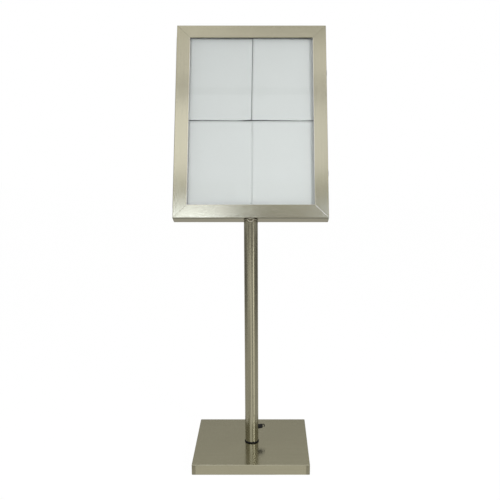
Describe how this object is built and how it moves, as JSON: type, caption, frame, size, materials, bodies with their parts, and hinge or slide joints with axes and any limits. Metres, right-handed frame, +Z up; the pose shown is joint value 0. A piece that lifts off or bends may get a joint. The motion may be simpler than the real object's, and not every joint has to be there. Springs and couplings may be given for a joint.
{
  "type": "led information display",
  "caption": "Free-standing information display: a tilted, side-lit glazed showcase for paper sheets with a lockable hinged door, on a round pole with a square weighted base.",
  "frame": {"origin": "centre of the base's underside, on the floor and on the pole's axis", "axes": "+Z up along the pole, -Y towards the reader in front of the showcase, +X to the reader's right"},
  "size_m": [0.5045, 0.4971, 1.4184],
  "materials": {
    "brushed_steel": "brushed along each piece, warm grey",
    "machined_steel": "plain turned or rolled",
    "zinc_hardware": "zinc plated",
    "lock_chrome": "polished",
    "ballast": "cast concrete",
    "black_rubber": "matt",
    "clear_glass": "clear float glass",
    "paper": "uncoated, unprinted",
    "dark_board": "satin dark grey",
    "channel_aluminium": "mill finish extrusion",
    "strip_white": "white solder mask",
    "diode_yellow": "unlit phosphor",
    "driver_plastic": "moulded",
    "cable_sheath": "satin black",
    "socket_plastic": "moulded black"
  },
  "bodies": {
    "stand": {"base_cover": "brushed_steel", "ballast_slab": "ballast", "base_mat": "black_rubber", "foot_bolt": "zinc_hardware", "foot_washer": "zinc_hardware", "foot_plug": "machined_steel", "foot_ring": "black_rubber", "lower_tube": "brushed_steel", "upper_tube": "brushed_steel", "joint_sleeve": "machined_steel", "joint_screws": "zinc_hardware", "head_plug": "machined_steel", "head_bolts": "zinc_hardware", "head_gasket": "black_rubber", "case_stiffener": "machined_steel", "power_socket": "socket_plastic", "socket_nut": "socket_plastic", "pole_cable": "cable_sheath", "cable_grommet": "black_rubber", "case_wall_top": "brushed_steel", "case_wall_bottom": "brushed_steel", "case_wall_left": "brushed_steel", "case_wall_right": "brushed_steel", "back_cover": "brushed_steel", "back_cover_screws": "zinc_hardware", "backing_board": "dark_board", "board_standoffs": "machined_steel", "board_screws": "zinc_hardware", "sheet_upper_left": "paper", "sheet_upper_right": "paper", "sheet_lower_left": "paper", "sheet_lower_right": "paper", "led_channel_left": "channel_aluminium", "led_channel_right": "channel_aluminium", "led_strip_left": "strip_white", "led_strip_right": "strip_white", "led_chips": "diode_yellow", "led_driver": "driver_plastic", "led_leads": "cable_sheath", "door_seal": "black_rubber", "hinge_case_leaf": "machined_steel", "hinge_pin": "machined_steel", "lock_barrels": "lock_chrome", "lock_nuts": "zinc_hardware"},
    "door": {"door_rail_top": "brushed_steel", "door_rail_bottom": "brushed_steel", "door_stile_left": "brushed_steel", "door_stile_right": "brushed_steel", "glass_pane": "clear_glass", "glazing_gasket": "black_rubber", "glazing_beads": "channel_aluminium", "bead_studs": "zinc_hardware", "hinge_door_leaf": "machined_steel", "door_hooks": "zinc_hardware"},
    "lock_upper": {"lock_plug_upper": "lock_chrome", "lock_cam_upper": "zinc_hardware"},
    "lock_lower": {"lock_plug_lower": "lock_chrome", "lock_cam_lower": "zinc_hardware"},
    "socket_cap": {"socket_cap": "black_rubber"}
  },
  "joints": [
    {"name": "door_swing", "type": "hinge", "parent": "stand", "child": "door", "pos_m": [-0.2495, 0.13223, 1.10804], "axis": [0, -0.4226, -0.9063], "range_deg": [0, 115]},
    {"name": "lock_upper_turn", "type": "hinge", "parent": "stand", "child": "lock_upper", "pos_m": [0.245, 0.22357, 1.26074], "axis": [-1, 0, 0], "range_deg": [0, 90]},
    {"name": "lock_lower_turn", "type": "hinge", "parent": "stand", "child": "lock_lower", "pos_m": [0.245, 0.07396, 0.93991], "axis": [-1, 0, 0], "range_deg": [0, 90]},
    {"name": "cap_pull", "type": "slide", "parent": "stand", "child": "socket_cap", "axis": [0.9135, 0.4067, 0], "range_m": [0, 0.018]}
  ]
}
